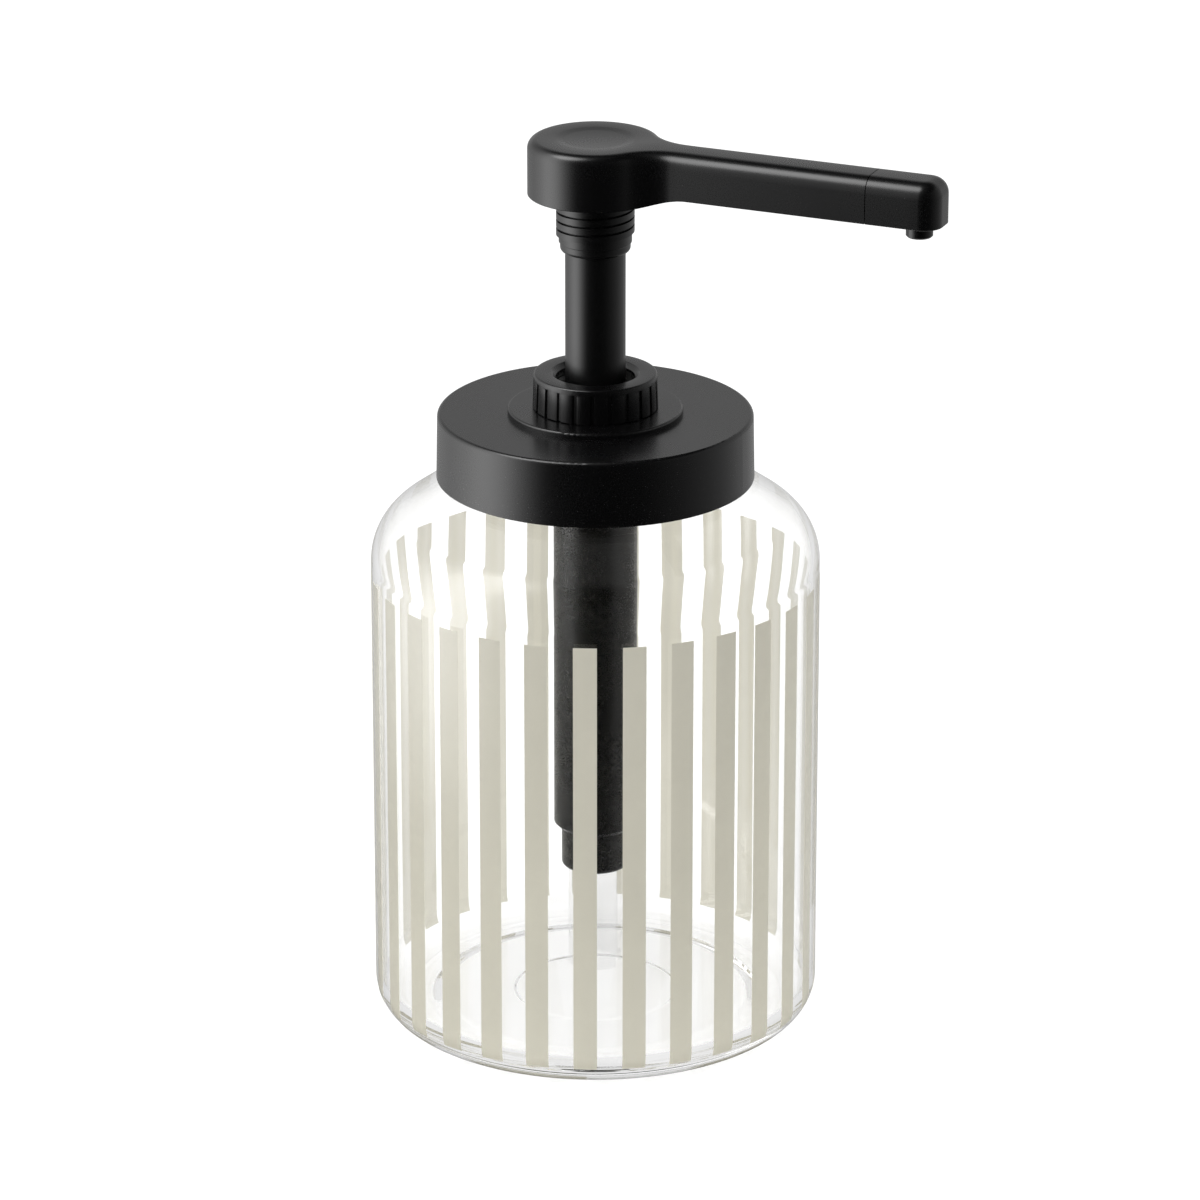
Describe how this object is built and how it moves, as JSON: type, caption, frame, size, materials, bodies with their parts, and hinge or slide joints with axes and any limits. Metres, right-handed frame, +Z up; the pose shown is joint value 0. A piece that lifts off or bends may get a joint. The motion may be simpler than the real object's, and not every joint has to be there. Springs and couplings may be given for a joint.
{
  "type": "sauce dispenser",
  "caption": "Clear glass jar with vertical stripes, a black twist-off lid and a push-down pump with a long straight spout, for dispensing sauce by hand.",
  "frame": {"origin": "centre of the jar's base, on the surface that it stands on", "axes": "+Z up through the jar, stem and head; +X along the spout at rest; +Y to the left of the spout"},
  "size_m": [0.1378, 0.1052, 0.2152],
  "materials": {
    "clear_glass": "clear, smooth, moulded",
    "stripe_ink": "warm grey printed ink on the outside of the glass",
    "black_plastic": "black, satin moulded surface",
    "grey_silicone": "soft, matt, translucent grey",
    "natural_plastic": "milky, uncoloured",
    "steel": "plain stainless, smooth"
  },
  "bodies": {
    "jar": {"glass_jar": "clear_glass", "printed_stripes": "stripe_ink"},
    "gasket": {"lid_gasket": "grey_silicone"},
    "lid": {"lid_shell": "black_plastic", "pump_barrel": "black_plastic", "barrel_washer": "grey_silicone", "barrel_nut": "black_plastic", "stem_guide": "black_plastic", "stem_wiper": "grey_silicone", "ribbed_collar": "black_plastic", "valve_foot": "black_plastic", "inlet_keeper": "natural_plastic", "dip_tube": "natural_plastic", "return_spring": "steel"},
    "inlet_ball": {"inlet_ball": "steel"},
    "piston": {"piston": "natural_plastic", "piston_ring": "grey_silicone"},
    "plunger": {"plunger_stem": "black_plastic", "piston_clip": "natural_plastic", "stem_seal": "grey_silicone", "outlet_keeper": "natural_plastic", "pump_head": "black_plastic", "spout_end": "black_plastic", "nozzle_tip": "black_plastic", "drip_valve": "grey_silicone"},
    "outlet_ball": {"outlet_ball": "steel"}
  },
  "joints": [
    {"name": "lid_lift", "type": "slide", "parent": "jar", "child": "gasket", "axis": [0, 0, 1], "range_m": [0, 0.145]},
    {"name": "lid_turn", "type": "hinge", "parent": "gasket", "child": "lid", "pos_m": [0, 0, 0.1452], "axis": [0, 0, 1], "range_deg": [0, 90]},
    {"name": "pump_stroke", "type": "slide", "parent": "lid", "child": "piston", "axis": [0, 0, 1], "range_m": [-0.032, 0], "stiffness_N_per_m": 600, "springref_m": 0.012, "deforming": ["return_spring"]},
    {"name": "head_swivel", "type": "hinge", "parent": "piston", "child": "plunger", "pos_m": [0, 0, 0.202], "axis": [0, 0, 1], "continuous": true},
    {"name": "inlet_ball_lift", "type": "slide", "parent": "lid", "child": "inlet_ball", "axis": [0, 0, 1], "range_m": [0, 0.0025]},
    {"name": "outlet_ball_lift", "type": "slide", "parent": "plunger", "child": "outlet_ball", "axis": [0, 0, 1], "range_m": [0, 0.0025]}
  ]
}
